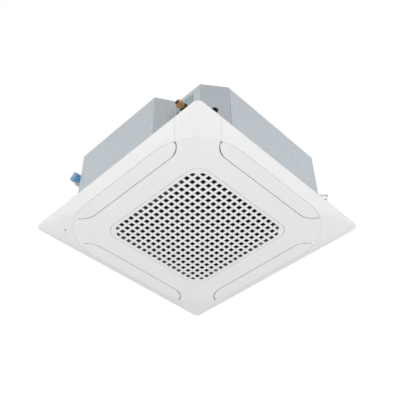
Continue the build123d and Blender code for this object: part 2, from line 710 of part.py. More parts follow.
def insulation():
    """Foam liner of the walls and top, open at the pipe corner and over the fan motor."""
    outer = casing_outline(SHEET + EPS_CLEAR)
    walls = outer - casing_outline(SHEET + EPS_CLEAR + EPS)
    liner = prism(walls, pan_top, slab_base + 1) + prism(outer, slab_base, slab_top)
    liner -= block(-half, -COIL_CUT - 10, -half, -COIL_CUT + 5, 0, slab_base)
    liner -= prism(Circle(LUG_R + 24), 0, top)
    liner -= corner(135, block(PUMP_U + 26, drain_wall, FLOAT_V - 20, 32, drain_z - 90, drain_z - 48))
    return liner - tongue(EPS_CLEAR) - drain_axis(Cylinder(SOCKET_R + 0.6, 90))


# ---- drain pan, coil and pipes ------------------------------------------------------
def coil_ring(grow):
    """Plan of the coil, with its open corner towards the pipes."""
    ring = square(coil_out + grow, COIL_CORNER + grow)
    ring -= square(coil_in - grow, COIL_CORNER - COIL_DEPTH - grow)
    end = COIL_CUT + grow
    return ring - Pos(-end - 200, -end - 200) * Rectangle(400, 400)


def sump():
    """Well under the pump and the float."""
    well = Pos(PUMP_U, 0) * Circle(26) + Pos(PUMP_U, FLOAT_V) * Circle(17)
    return well + Pos(PUMP_U, FLOAT_V / 2) * Rectangle(34, -FLOAT_V)


def drain_pan():
    """Foam tray under the coil, with four air slots, a trough and the pump's well."""
    pan = prism(casing_outline(SHEET + EPS_CLEAR), pan_base, pan_top)
    pan -= prism(square(mouth_half + 0.5, 30), 0, mouth_z + 3)
    pan -= prism(square(mouth_half - 10, 30), 0, top)
    for number in SIDES:
        end = notched_slot if number == 2 else SLOT_HALF
        pan -= side(number, block(slot_in, slot_out, -SLOT_HALF, end, 0, top))
    pan -= prism(square(coil_out + 4, COIL_CORNER + 4) - square(coil_in - 4, COIL_CORNER - COIL_DEPTH - 4),
                 trough, top)
    return pan - tongue(EPS_CLEAR) - groove(SHEET + EPS_CLEAR) - prism(corner(135, sump()), trough - 5, top)


def coil_block():
    return prism(coil_ring(0), trough, coil_top)


def coil_ends():
    """Sheet end plates of the coil; the second is the first mirrored across the diagonal."""
    low, high = -coil_out - 3, -coil_in + 3
    plate = block(low, high, -COIL_CUT - 1.5, -COIL_CUT, trough, coil_top)
    return [plate, block(-COIL_CUT - 1.5, -COIL_CUT, low, high, trough, coil_top)]


def return_bends():
    """Half rings joining the coil's tubes, two rows on each end plate."""
    middle, start = (coil_out + coil_in) / 2, -COIL_CUT - 1.5
    levels = int((coil_top - trough) // TUBE_PITCH) // 2
    bends = []
    for row in (-1, 1):
        across = -middle + row * ROW_PITCH / 2
        for level in range(levels):
            z = trough + TUBE_PITCH * (2 * level + 1)
            ring = Pos(across, start, z) * Rot(0, 90, 0) * Torus(TUBE_PITCH / 2, TUBE_R)
            bends.append(ring & block(across - 9, across + 9, start - 30, start, z - 30, z + 30))
            ring = Pos(start, across, z) * Rot(90, 0, 0) * Torus(TUBE_PITCH / 2, TUBE_R)
            bends.append(ring & block(start - 30, start, across - 9, across + 9, z - 30, z + 30))
    return group(bends)


def coil_baffle():
    """Sheet across the pipe corner, between the coil's two ends."""
    face_u = (coil_in + COIL_CUT + 2) / sqrt(2)
    wide = face_u - (COIL_CUT + 2.9) * sqrt(2)
    sheet = corner(225, block(face_u - 0.5, face_u + 0.5, -wide, wide, pan_top, coil_top))
    tab = block(-coil_in - 4, -coil_in + 4, -COIL_CUT - 2.7, -COIL_CUT - 1.5, trough, coil_top)
    other = block(-COIL_CUT - 2.7, -COIL_CUT - 1.5, -coil_in - 4, -coil_in + 4, trough, coil_top)
    return sheet + tab + other


def gas_header():
    """Header tube beside the coil's end, its branches and the gas pipe out of the casing."""
    x, y = -half + 112, -COIL_CUT - 32
    middle = -(coil_out + coil_in) / 2
    pipe = tube([(x, y + 2, gas_z), (x, pipe_y, gas_z), (notch_x - 22, pipe_y, gas_z)],
                GAS_PIPE_R, 20)
    header = rod(x, y, 9.5, trough + 30, gas_z + 14) + pipe
    for level in range(4):
        z = trough + 43 + 50 * level * (coil_top - trough) / 237
        header += along_y(TUBE_R, y, -COIL_CUT - 1.5, middle, z)
    return header


def liquid_line():
    """Liquid pipe, distributor and capillaries to the coil's other end."""
    x, y = -half + 180, -(coil_out + coil_in) / 2
    line = tube([(notch_x - 20, pipe_y, liquid_z), (x - 32, pipe_y, liquid_z),
                 (x, y, liquid_z), (x, y, liquid_z - 24)], LIQUID_PIPE_R, 12)
    line += rod(x, y, 10, liquid_z - 50, liquid_z - 22)
    for number, (dx, dy) in enumerate([(-5, -2.5), (-5, 2.5), (5, -2.5), (5, 2.5)]):
        z = trough + 20 + 15 * number
        line += tube([(x + dx, y + dy, liquid_z - 49), (x + dx, y + dy, z),
                      (-COIL_CUT - 1.5, y + dy, z)], 1.8, 8)
    return line


def flare_nut(z, pipe_r, across, long):
    """Nut on a pipe's end, with a round shoulder towards the plate."""
    base = notch_x - SHEET - GASKET
    nut = Rot(0, -90, 0) * (hexagon(across, long * 0.62))
    nut = Pos(base - long * 0.38, pipe_y, z) * nut
    nut += along_x(across * 0.43, base - long * 0.38 - 1, base, pipe_y, z)
    return nut - along_x(pipe_r + 0.05, base - long - 5, base + 5, pipe_y, z)


def flare_plug(z, pipe_r, across, long):
    """Black shipping plug in a nut's end."""
    tip = notch_x - SHEET - GASKET - long
    return along_x(across * 0.34, tip - PLUG_PROUD, tip, pipe_y, z) + along_x(
        pipe_r - 0.2, tip - 1, tip + 6, pipe_y, z)


def pipe_gasket(z, pipe_r, radius):
    base = notch_x - SHEET
    return along_x(radius, base - GASKET, base, pipe_y, z) - along_x(
        pipe_r + 0.1, base - 9, base + 9, pipe_y, z)


# ---- fan ----------------------------------------------------------------------------
def shroud_points(lift=0.0):
    """Upper side of the fan's shroud, from its mouth to its rim."""
    mouth = throat_r + 4.5
    return [(mouth, mouth_top + 9 + lift), (mouth + 14, mouth_top + 23 + lift),
            (fan_r, mouth_top + 32 + lift)]


def fan_hub():
    hat, boss = MOTOR_R + 13, 20.0
    return turned((SHAFT_R + 0.05, hub_z - 15), (boss, hub_z - 15), (boss, hub_z), (hat + 2, hub_z + 8),
                  (hat + 25, fan_top - 3), (fan_r, fan_top - 3), (fan_r, fan_top),
                  (hat + 22.7, fan_top), (hat - 0.5, hub_z + 11), (boss, hub_z + 3.2),
                  (boss, hub_z + 15), (SHAFT_R + 0.05, hub_z + 15))


def fan_wheel():
    """Hub and backward-curved blades, clear of the shroud below them."""
    wheel = fan_hub()
    inner, outer = fan_r - 85, fan_r - 5
    blade_r = 120.0
    arc = Circle(blade_r + 2) - Circle(blade_r - 2)
    annulus = Circle(outer) - Circle(inner)
    floor = [(inner - 10, 0), (fan_r + 9, 0), (fan_r + 9, mouth_top + 33.9), *shroud_points(0.4)[::-1],
             (inner - 10, mouth_top + 9.4)]
    under = turned(*floor)
    blade = Pos((inner + outer) / 2 - 44, -98) * arc & annulus & Pos((inner + outer) / 2, 30) * Rectangle(
        110, 150)
    blade = prism(blade, mouth_top, fan_top - 1.5) - under
    for number in range(FAN_BLADES):
        wheel += Rot(0, 0, 360 / FAN_BLADES * number) * blade
    return wheel


def fan_shroud():
    upper = shroud_points()
    mouth = throat_r + 4.5
    return turned((mouth, mouth_top - 5), (mouth + 2.5, mouth_top - 5), (mouth + 2.5, mouth_top + 8),
                  (mouth + 15, mouth_top + 20.3), (fan_r + 1, mouth_top + 29.5), upper[2], upper[1],
                  upper[0])


def fan_shaft():
    return rod(0, 0, SHAFT_R, hub_z - 26, motor_base + 30)


def fan_nut():
    return Pos(0, 0, hub_z - 24) * (hexagon(19, 9) - Cylinder(SHAFT_R + 0.05, 40))


def fan_motor():
    """Motor can with three lugs and the shaft's bore."""
    motor = turned((0, motor_base), (MOTOR_R - 6, motor_base), (MOTOR_R, motor_base + 6),
                   (MOTOR_R, slab_base - 6), (0, slab_base - 6))
    for angle in (90, 210, 330):
        lug = block(MOTOR_R - 8, LUG_R, -9, 9, lug_z, lug_z + 4) + rod(LUG_R, 0, 9, lug_z, lug_z + 4)
        motor += Rot(0, 0, angle) * (lug - rod(LUG_R, 0, 5.2, 0, top))
    return motor - rod(0, 0, SHAFT_R + 0.05, motor_base - 5, motor_base + 31)


def motor_bush():
    """Rubber grommet in a lug, under the stud's shoulder."""
    return turned((3.1, lug_z - 5), (9, lug_z - 5), (9, lug_z), (5, lug_z), (5, lug_z + 4),
                  (9, lug_z + 4), (9, slab_base + 4.4), (3.1, slab_base + 4.4))


def motor_nut():
    return Pos(0, 0, lug_z - 10) * (hexagon(10, 5) - Cylinder(3.05, 30))


def round_motor(shape):
    return group([Rot(0, 0, angle) * Pos(LUG_R, 0, 0) * shape for angle in (90, 210, 330)])


def bellmouth():
    """Square plate with the fan's inlet mouth."""
    plate = square(mouth_half, 30) - Circle(throat_r + 35)
    mouth = turned((throat_r + 36, mouth_z), (throat_r + 36, mouth_z + 3), (throat_r + 27, mouth_z + 3),
                   (throat_r + 11.5, mouth_z + 17), (throat_r, mouth_z + 37), (throat_r, mouth_top),
                   (throat_r - 2.5, mouth_top), (throat_r - 2.5, mouth_z + 36.5),
                   (throat_r + 9.5, mouth_z + 15.5), (throat_r + 26, mouth_z))
    return prism(plate, mouth_z, mouth_z + 3) + mouth


# ---- electrics ----------------------------------------------------------------------
def control_box():
    """Steel tray under the bellmouth's plate, open downward."""
    low = mouth_z - BOX_DEEP
    tray = block(box_x0, box_x1, -BOX_HALF, BOX_HALF, low, mouth_z)
    return tray - block(box_x0 + SHEET, box_x1 - SHEET, -BOX_HALF + SHEET, BOX_HALF - SHEET,
                        low - 1, mouth_z - SHEET)


def control_box_cover():
    low = mouth_z - BOX_DEEP
    return block(box_x0, box_x1, -BOX_HALF, BOX_HALF, low - SHEET, low)


def control_board():
    """Circuit board on pillars, with its larger components below it."""
    board_z = mouth_z - 9
    x, reach = (box_x0 + box_x1) / 2, BOX_HALF - 60
    board = block(x - 26, x + 26, -BOX_HALF + 10, reach, board_z, board_z + 1.6)
    for px in (x - 22, x + 22):
        for py in (-BOX_HALF + 15, reach - 5):
            board += rod(px, py, 2.5, board_z + 1, mouth_z - SHEET)
    for y, wide, deep, tall in ((-120, 30, 34, 20), (-70, 18, 40, 14), (-30, 24, 24, 17), (20, 30, 30, 10)):
        board += block(x - deep / 2, x + deep / 2, y - wide / 2, y + wide / 2, board_z - tall, board_z + 0.5)
    for y in (-96, 48, 68):
        board += rod(x + 12, y, 7, board_z - 16, board_z + 0.5)
    return board


def terminal_block():
    """Terminal strip with barrier walls."""
    x, y = (box_x0 + box_x1) / 2, BOX_HALF - 32
    roof = mouth_z - SHEET
    strip = block(x - 15, x + 15, y - 26, y + 26, roof - 12, roof)
    for number in range(6):
        at = y - 24.5 + number * 9.8
        strip += block(x - 15, x + 15, at - 1, at + 1, roof - 18, roof - 11)
    return strip


def display_board():
    return corner(135, block(WINDOW_U - 9, WINDOW_U + 15, -24, 30, BOARD_Z, BOARD_Z + 1.6))


# ---- drain pump ---------------------------------------------------------------------
def drain_pump():
    """Pump on the drain corner's diagonal: inlet, impeller chamber, motor and spigot."""
    low = pan_top + 25
    body = turned((7, trough + 3), (10, trough + 3), (10, low), (22, low), (22, low + 24), (20, low + 24),
                  (20, pump_top), (0, pump_top), (0, low + 20), (19, low + 20), (19, low + 3), (7, low + 3))
    spigot = along_y(8, 20, 30, 0, low + 12) - along_y(6, 15, 35, 0, low + 12)
    body = body + (spigot - rod(0, 0, 20.5, low, low + 24)) - along_y(6, 15, 25, 0, low + 12)
    body -= rod(0, 0, 2.05, low + 10, low + 30)
    return corner(135, Pos(PUMP_U, 0, 0) * body)


def pump_impeller():
    """Disc with four vanes on a short shaft."""
    low = pan_top + 25
    wheel = rod(0, 0, 17, low + 15, low + 17.5) + rod(0, 0, 2, low + 16, low + 28)
    for number in range(4):
        wheel += Rot(0, 0, 90 * number) * block(2, 16.5, -0.8, 0.8, low + 5, low + 15.5)
    return corner(135, Pos(PUMP_U, 0, 0) * (wheel + rod(0, 0, 3.5, low + 5, low + 16)))


def pump_bracket():
    """Steel bracket from the casing's corner wall over the pump and the float."""
    wall = drain_wall - SHEET
    plate = block(PUMP_U - 18, wall, FLOAT_V - 10, 24, pump_top, rail_z)
    plate += block(wall - 2, wall, FLOAT_V - 10, 24, pump_top - 30, rail_z)
    return corner(135, plate)


def float_switch():
    """Stem hanging from the pump's bracket, with stops for the float."""
    low = trough + 3
    stem = rod(0, 0, 4, low, pump_top) + rod(0, 0, 6, low, low + 2)
    stem += rod(0, 0, 6.5, low + 17.6 + FLOAT_TRAVEL, low + 20 + FLOAT_TRAVEL)
    return corner(135, Pos(PUMP_U, FLOAT_V, 0) * stem)


def drain_float():
    low = trough + 5.3
    ring = rod(0, 0, 12, low, low + 12) - rod(0, 0, 4.6, low - 1, low + 13)
    return corner(135, Pos(PUMP_U, FLOAT_V, 0) * ring)


def drain_hose():
    """Soft hose from the pump's spigot up to the drain outlet."""
    low = pan_top + 37
    return corner(135, tube([(PUMP_U, 22.5, low), (PUMP_U, DRAIN_V, low), (PUMP_U, DRAIN_V, drain_z),
                             (drain_wall - 23, DRAIN_V, drain_z)], 10.5, 12, 8.05))


def elbow(shape):
    """A shape turned from the drain outlet's axis on the wall to the socket's, along -X."""
    return Rot(-45, 0, 0) * shape


def drain_outlet():
    """Elbow through the wall: spigot inside, flange on the wall, socket along -X, web below."""
    outside = Pos(0, 0, 100) * Box(400, 400, 200)
    shape = turned((0, -36), (8, -36), (8, -16), (SOCKET_R, -16), (SOCKET_R, 0), (24, 0), (24, 3), (0, 3))
    shape += elbow(rod(0, 0, SOCKET_R, 0, SOCKET_LENGTH)) & outside
    web = bar([(0, -10), (WEB_DEEP, -10), (WEB_DEEP, 34), (WEB_DEEP - 6, 40), (22, 40), (22, 22), (0, 22)],
              -3, 3)
    shape += elbow(web) & outside
    shape -= rod(0, 0, 6, -40, 0)
    shape -= rod(0, 0, SOCKET_BORE, -12, 5)
    return drain_axis(shape - (elbow(rod(0, 0, SOCKET_BORE, -20, 60)) & Pos(0, 0, 1.2) * outside))


def drain_cap():
    """Shipping cap over the socket's end, with two grips."""
    end = SOCKET_LENGTH + 0.4
    face_at = end + CAP_END
    rear = face_at - CAP_LENGTH
    cap = turned((SOCKET_R + 0.1, rear), (21, rear), (21, face_at), (0, face_at), (0, end),
                 (SOCKET_R + 0.1, end))
    for angle in CAP_GRIPS:
        cap += Rot(0, 0, angle) * block(19, 28, -5, 5, face_at - 12, face_at)
    return drain_axis(elbow(cap))


# ---- all of it ----------------------------------------------------------------------
def build():
    """Every sub-part by name."""
    trim, shell, ring = bulk(), rim_shell(), wall_ring()
    cover = corner_cover(shell, trim)
    parts = {
        "casing_wrap": casing_wrap(ring), "corner_panel": corner_panel(ring),
        "casing_top": casing_top(), "pipe_plate": pipe_plate(),
        "hanger_brackets": hanger_brackets(), "panel_ears": panel_ears(),
        "casing_screws": group([place * screw() for place in screw_places() + top_screw_places()]),
        "insulation": insulation(), "drain_pan": drain_pan(), "coil_block": coil_block(),
        "coil_end_plates": group(coil_ends()), "return_bends": return_bends(),
        "gas_header": gas_header(), "liquid_line": liquid_line(),
        "gas_flare_nut": flare_nut(*gas_fitting), "liquid_flare_nut": flare_nut(*liquid_fitting),
        "flare_plugs": group([flare_plug(*gas_fitting), flare_plug(*liquid_fitting)]),
        "pipe_gaskets": group([pipe_gasket(*gas_fitting[:2], 17), pipe_gasket(*liquid_fitting[:2], 13)]),
        "coil_baffle": coil_baffle(), "fan_motor": fan_motor(),
        "motor_bushes": round_motor(motor_bush()), "motor_nuts": round_motor(motor_nut()),
        "bellmouth": bellmouth(), "control_box": control_box(),
        "control_box_cover": control_box_cover(), "control_board": control_board(),
        "terminal_block": terminal_block(), "cable_grommet": cable_grommet(),
        "drain_pump": drain_pump(), "pump_bracket": pump_bracket(), "drain_hose": drain_hose(),
        "drain_outlet": drain_outlet(), "drain_cap": drain_cap(), "float_switch": float_switch(),
        "panel_frame": panel_frame(shell, trim),
        "corner_covers": group([corner(angle, cover) for angle in CORNERS if angle != 135]),
        "receiver_cover": corner(135, receiver_cover(cover)),
        "receiver_window": receiver_window(trim), "display_board": display_board(),
        "duct_seals": duct_seals(),
        "vane_motors": group([side(number, vane_motor()) for number in SIDES]),
        "hinge_brackets": group([hinge_bracket(y) for y in (-hinge_y, hinge_y)]),
        "panel_screws": group([corner(angle, panel_screw()) for angle in CORNERS]),
        "fan_wheel": fan_wheel(), "fan_shroud": fan_shroud(),
        "fan_nut": fan_nut(), "fan_shaft": fan_shaft(),
        "intake_grille": intake_grille(), "filter_frame": filter_frame(),
        "filter_mesh": filter_mesh(),
        "hinge_pins": group([hinge_pin(y) for y in (-hinge_y, hinge_y)]),
        "latch_left": latch(latch_y), "latch_right": latch(-latch_y),
        "drain_float": drain_float(), "pump_impeller": pump_impeller(),
        "run_button": run_button(),
    }
    for number in SIDES:
        parts[f"air_vane_{number + 1}"] = side(number, vane())
    return parts


os.makedirs("parts", exist_ok=True)
for name, shape in build().items():
    export_step(shape, f"parts/{name}.step")
    print(name, len(shape.solids()), round(sum(solid.volume for solid in shape.solids())))
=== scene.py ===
import json
from math import cos, pi, sin

import bpy
from mathutils import Matrix, Vector

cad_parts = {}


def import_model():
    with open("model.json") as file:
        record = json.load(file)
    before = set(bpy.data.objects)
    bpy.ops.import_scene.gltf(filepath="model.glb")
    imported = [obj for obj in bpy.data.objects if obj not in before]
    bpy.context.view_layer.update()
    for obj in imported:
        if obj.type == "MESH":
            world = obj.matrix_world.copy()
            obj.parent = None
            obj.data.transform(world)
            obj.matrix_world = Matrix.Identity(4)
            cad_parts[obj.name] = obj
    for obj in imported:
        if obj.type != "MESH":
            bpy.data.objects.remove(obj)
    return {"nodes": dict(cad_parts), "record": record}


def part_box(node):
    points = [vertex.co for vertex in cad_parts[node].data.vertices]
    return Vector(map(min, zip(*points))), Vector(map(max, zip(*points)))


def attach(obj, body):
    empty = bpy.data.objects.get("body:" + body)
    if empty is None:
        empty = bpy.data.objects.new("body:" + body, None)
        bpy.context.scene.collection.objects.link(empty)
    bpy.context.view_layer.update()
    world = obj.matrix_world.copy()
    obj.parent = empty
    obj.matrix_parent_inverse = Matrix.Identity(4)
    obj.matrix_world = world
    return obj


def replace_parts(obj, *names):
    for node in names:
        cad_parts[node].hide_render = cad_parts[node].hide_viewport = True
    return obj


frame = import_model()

# Looks of the ceiling cassette. Metres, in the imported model's frame: the ceiling's plane
# is z = 0, the panel faces down and the casing stands above it.
nodes = frame["nodes"]
slots = {part["node"]: part["material_slot"] for part in frame["record"]["subparts"]}
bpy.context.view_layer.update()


# ---- materials ----------------------------------------------------------------------
class Finish:
    """A material whose colour, gloss and relief come from textures in object space."""

    def __init__(self, name, base, roughness, metallic=0.0, **sockets):
        self.material = bpy.data.materials.new(name)
        self.material.use_nodes = True
        self.tree = self.material.node_tree
        self.shader = self.tree.nodes["Principled BSDF"]
        self.set("Base Color", (*base, 1.0))
        self.set("Roughness", roughness)
        self.set("Metallic", metallic)
        for name, value in sockets.items():
            self.set(name.replace("_", " "), value)
        self.place = self.tree.nodes.new("ShaderNodeTexCoord").outputs["Object"]
        self.base = base
        self.normal = None

    def set(self, socket, value):
        self.shader.inputs[socket].default_value = value

    def add(self, kind, inputs=None, **settings):
        """A new node; an input is a number, a vector or another node's output."""
        made = self.tree.nodes.new("ShaderNode" + kind)
        for name, value in settings.items():
            setattr(made, name, value)
        for name, value in (inputs or {}).items():
            if isinstance(value, bpy.types.NodeSocket):
                self.tree.links.new(value, made.inputs[name])
            else:
                made.inputs[name].default_value = value
        return made

    def stretched(self, scale):
        return self.add("Mapping", {"Vector": self.place, "Scale": scale}).outputs["Vector"]

    def noise(self, scale, detail=3.0, stretch=None):
        place = self.stretched(stretch) if stretch else self.place
        return self.add("TexNoise", {"Vector": place, "Scale": scale, "Detail": detail}).outputs[0]

    def cells(self, scale, stretch=None):
        """A random value for each cell."""
        place = self.stretched(stretch) if stretch else self.place
        made = self.add("TexVoronoi", {"Vector": place, "Scale": scale})
        return self.add("SeparateColor", {0: made.outputs["Color"]}).outputs[0]

    def edges(self, scale):
        """Distance from the edges between cells."""
        made = self.add("TexVoronoi", {"Vector": self.place, "Scale": scale},
                        feature="DISTANCE_TO_EDGE")
        return made.outputs["Distance"]

    def blended(self, one, other, share):
        """Weighted sum of two values."""
        first = self.add("Math", {0: one, 1: 1 - share}, operation="MULTIPLY").outputs[0]
        return self.add("Math", {0: other, 1: share, 2: first}, operation="MULTIPLY_ADD").outputs[0]

    def ramp(self, value, stops):
        made = self.add("ValToRGB", {0: value})
        elements = made.color_ramp.elements
        while len(elements) < len(stops):
            elements.new(0.5)
        for element, (at, colour) in zip(elements, stops):
            element.position = at
            element.color = (*colour, 1.0)
        return made.outputs[0]

    def tint(self, value, low=0.9, high=1.1, span=(0.25, 0.75), warm=0.0):
        """Colour that varies round the base colour with a value."""
        dark = [c * low for c in self.base]
        light = [min(c * high * (1 + warm * k), 1.0) for c, k in zip(self.base, (1, 0, -1))]
        colour = self.ramp(value, [(span[0], dark), (span[1], light)])
        self.tree.links.new(colour, self.shader.inputs["Base Color"])

    def gloss(self, value, low, high):
        made = self.add("MapRange", {"Value": value, "From Min": 0.3, "From Max": 0.7,
                                     "To Min": low, "To Max": high})
        self.tree.links.new(made.outputs[0], self.shader.inputs["Roughness"])

    def round_edges(self, radius):
        self.normal = self.add("Bevel", {"Radius": radius}, samples=6).outputs[0]
        self.tree.links.new(self.normal, self.shader.inputs["Normal"])

    def relief(self, height, depth, strength=1.0):
        made = self.add("Bump", {"Height": height, "Distance": depth, "Strength": strength})
        if self.normal:
            self.tree.links.new(self.normal, made.inputs["Normal"])
        self.normal = made.outputs[0]
        self.tree.links.new(self.normal, self.shader.inputs["Normal"])


def panel_white():
    made = Finish("panel_white", (0.845, 0.845, 0.845), 0.46, Specular_IOR_Level=0.42)
    made.round_edges(0.0012)
    made.tint(made.noise(9.0, 4.0), 0.985, 1.01)
    made.gloss(made.noise(350.0, 2.0), 0.42, 0.52)
    made.relief(made.noise(2600.0, 2.0), 0.00003, 0.5)
    return made


def galvanised(name="galvanised", base=(0.560, 0.606, 0.640), spangle=85.0):
    made = Finish(name, base, 0.42, 0.85)
    made.round_edges(0.0008)
    crystals = made.blended(made.cells(spangle), made.noise(6.0, 3.0), 0.45)
    made.tint(crystals, 0.972, 1.022)
    made.gloss(made.blended(made.cells(spangle * 1.3), made.noise(30.0, 4.0), 0.5), 0.38, 0.50)
    made.relief(made.noise(18.0, 3.0, (1, 1, 0.4)), 0.0005, 0.25)
    made.relief(made.cells(spangle), 0.00002, 0.6)
    return made


def zinc():
    made = Finish("zinc", (0.76, 0.77, 0.78), 0.36, 0.9)
    made.round_edges(0.0004)
    made.tint(made.noise(60.0, 4.0), 0.9, 1.08, warm=0.03)
    made.gloss(made.noise(140.0, 3.0), 0.26, 0.42)
    made.relief(made.noise(900.0, 3.0), 0.00002, 0.5)
    return made


def foam():
    made = Finish("foam", (0.84, 0.84, 0.82), 0.85, Specular_IOR_Level=0.25)
    beads = made.edges(230.0)
    made.tint(made.blended(made.cells(230.0), made.noise(12.0), 0.3), 0.93, 1.05)
    made.relief(beads, 0.0008, 0.55)
    made.relief(made.noise(900.0, 2.0), 0.0001, 0.3)
    return made


def dark_foam():
    made = Finish("dark_foam", (0.05, 0.05, 0.055), 0.92, Specular_IOR_Level=0.2)
    made.tint(made.noise(260.0, 4.0), 0.75, 1.3)
    made.relief(made.edges(1300.0), 0.0004, 0.6)
    return made


def fins():
    made = Finish("fins", (0.66, 0.74, 0.80), 0.34, 0.9)
    made.tint(made.noise(70.0, 3.0), 0.88, 1.08)
    made.gloss(made.noise(200.0), 0.28, 0.42)
    waves = made.add("TexWave", {"Vector": made.stretched((0, 0, 1)), "Scale": 90.0})
    made.relief(waves.outputs[1], 0.00015, 0.4)
    return made


def copper():
    made = Finish("copper", (0.74, 0.38, 0.23), 0.28, 1.0)
    made.tint(made.noise(45.0, 5.0), 0.72, 1.12, warm=-0.08)
    made.gloss(made.noise(90.0, 3.0), 0.2, 0.4)
    made.relief(made.noise(700.0, 2.0), 0.00002, 0.4)
    return made


def brass():
    made = Finish("brass", (0.88, 0.49, 0.22), 0.24, 1.0)
    made.round_edges(0.0006)
    made.tint(made.noise(120.0, 4.0), 0.8, 1.1, warm=0.05)
    made.gloss(made.noise(260.0, 3.0, (1, 6, 6)), 0.17, 0.32)
    made.relief(made.noise(500.0, 2.0, (8, 1, 1)), 0.00003, 0.5)
    return made


def moulded(name, base, roughness, grain=2200.0, depth=0.00004, low=0.92, high=1.08, edge=0.0006,
            specular=0.45):
    """Moulded plastic: fine grain, faint flow marks, softened edges."""
    made = Finish(name, base, roughness, Specular_IOR_Level=specular)
    made.round_edges(edge)
    made.tint(made.noise(24.0, 4.0), low, high)
    made.gloss(made.noise(300.0, 3.0), roughness - 0.06, roughness + 0.08)
    made.relief(made.noise(grain, 2.0), depth, 0.5)
    return made


def rubber():
    made = Finish("black_rubber", (0.018, 0.018, 0.02), 0.7, Specular_IOR_Level=0.35)
    made.round_edges(0.0008)
    made.tint(made.noise(90.0, 4.0), 0.7, 1.5)
    made.relief(made.noise(1500.0, 3.0), 0.00006, 0.6)
    return made


def motor_grey():
    made = Finish("motor_grey", (0.26, 0.27, 0.29), 0.38, 0.4, Coat_Weight=0.15)
    made.round_edges(0.001)
    made.tint(made.noise(30.0, 4.0), 0.9, 1.1)
    made.relief(made.noise(1100.0, 2.0), 0.00006, 0.5)
    return made


def turned_steel():
    made = Finish("steel", (0.56, 0.57, 0.58), 0.24, 1.0)
    made.round_edges(0.0004)
    made.tint(made.noise(100.0, 4.0), 0.88, 1.08)
    made.gloss(made.noise(900.0, 2.0, (1, 1, 12)), 0.18, 0.34)
    made.relief(made.noise(900.0, 2.0, (1, 1, 12)), 0.00002, 0.5)
    return made


def board_green():
    made = Finish("board_green", (0.03, 0.17, 0.07), 0.32, Coat_Weight=0.3)
    made.round_edges(0.0003)
    lines = made.add("TexBrick", {"Vector": made.place, "Scale": 160.0,
                                  "Mortar Size": 0.02}).outputs[1]
    made.tint(made.blended(made.cells(300.0), lines, 0.4), 0.7, 1.4)
    made.relief(lines, 0.00004, 0.5)
    return made


def window_dark():
    made = Finish("window_dark", (0.30, 0.30, 0.31), 0.12, Coat_Weight=0.5)
    made.round_edges(0.0006)
    made.tint(made.noise(300.0, 2.0), 0.9, 1.1)
    made.relief(made.noise(1500.0, 2.0), 0.00001, 0.4)
    return made


WEAVE = 0.0012                  # one thread of the filter's net to the next


def filter_net():
    """Woven net whose gaps let light through."""
    # A black net, its colour pushed down to near zero as painted shade of the dark inside the
    # grille's holes.
    made = Finish("filter_net", (0.008, 0.009, 0.010), 0.8, Specular_IOR_Level=0.06)
    split = made.add("SeparateXYZ", {0: made.place})
    waves = []
    for axis in (0, 1):
        turned = made.add("Math", {0: split.outputs[axis], 1: pi / WEAVE}, operation="MULTIPLY")
        wave = made.add("Math", {0: turned.outputs[0]}, operation="SINE")
        waves.append(made.add("Math", {0: wave.outputs[0]}, operation="ABSOLUTE").outputs[0])
    gaps = made.add("Math", {0: waves[0], 1: waves[1]}, operation="MINIMUM").outputs[0]
    threads = made.add("MapRange", {"Value": gaps, "From Min": 0.4, "From Max": 0.55,
                                    "To Min": 1.0, "To Max": 0.0}).outputs[0]
    made.tree.links.new(threads, made.shader.inputs["Alpha"])
    made.tint(made.noise(120.0, 3.0), 0.8, 1.25)
    made.relief(gaps, 0.0002, 0.5)
    return made


def soft_hose():
    made = Finish("hose", (0.62, 0.63, 0.60), 0.42, Specular_IOR_Level=0.5,
                  Transmission_Weight=0.15)
    made.tint(made.noise(35.0, 4.0), 0.9, 1.06)
    made.relief(made.noise(500.0, 3.0), 0.0001, 0.5)
    return made


finishes = {
    "panel_white": panel_white(), "galvanised": galvanised(), "zinc": zinc(), "foam": foam(),
    "dark_foam": dark_foam(), "fins": fins(), "copper": copper(), "brass": brass(),
    "black_plastic": moulded("black_plastic", (0.02, 0.02, 0.022), 0.45, low=0.8, high=1.3),
    "black_rubber": rubber(), "motor_grey": motor_grey(), "steel": turned_steel(),
    "fan_plastic": moulded("fan_plastic", (0.10, 0.105, 0.115), 0.5, low=0.85, high=1.15),
    "grey_plastic": moulded("grey_plastic", (0.46, 0.47, 0.48), 0.45, low=0.94, high=1.06),
    "board_green": board_green(),
    "blue_plastic": moulded("blue_plastic", (0.13, 0.33, 0.57), 0.4, low=0.85, high=1.2),
    "window_dark": window_dark(), "filter_net": filter_net(), "hose": soft_hose(),
}
# Pieces that the photograph shows darker or paler than the rest of their slot.
own_finishes = {
    # Pipe plate: galvanised darkened as painted shade of the notch it sits in.
    "pipe_plate": galvanised("galvanised_plate_painted_shade", (0.345, 0.437, 0.447), 110.0),
    "drain_outlet": moulded("pale_plastic", (0.66, 0.67, 0.67), 0.45, low=0.94, high=1.05),
    "filter_frame": moulded("filter_black", (0.012, 0.012, 0.013), 0.7, low=0.8, high=1.3,
                            specular=0.08),
    "bellmouth": moulded("bellmouth_dark", (0.10, 0.10, 0.105), 0.6, low=0.9, high=1.1,
                         specular=0.15),
}
latch_grey = moulded("latch_grey", (0.19, 0.19, 0.195), 0.5)
own_finishes.update(latch_left=latch_grey, latch_right=latch_grey)
for name, node in nodes.items():
    node.data.materials.clear()
    node.data.materials.append(own_finishes.get(name, finishes[slots[name]]).material)


# ---- pieces -------------------------------------------------------------------------
def piece(name, points, faces, slot, body="unit", smooth=False):
    """A mesh piece with its slot's finish, riding on a body."""
    mesh = bpy.data.meshes.new(name)
    mesh.from_pydata(points, [], faces)
    mesh.validate()
    mesh.polygons.foreach_set("use_smooth", [smooth] * len(mesh.polygons))
    mesh.materials.append(finishes[slot].material)
    made = bpy.data.objects.new(name, mesh)
    bpy.context.scene.collection.objects.link(made)
    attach(made, body)
    return made


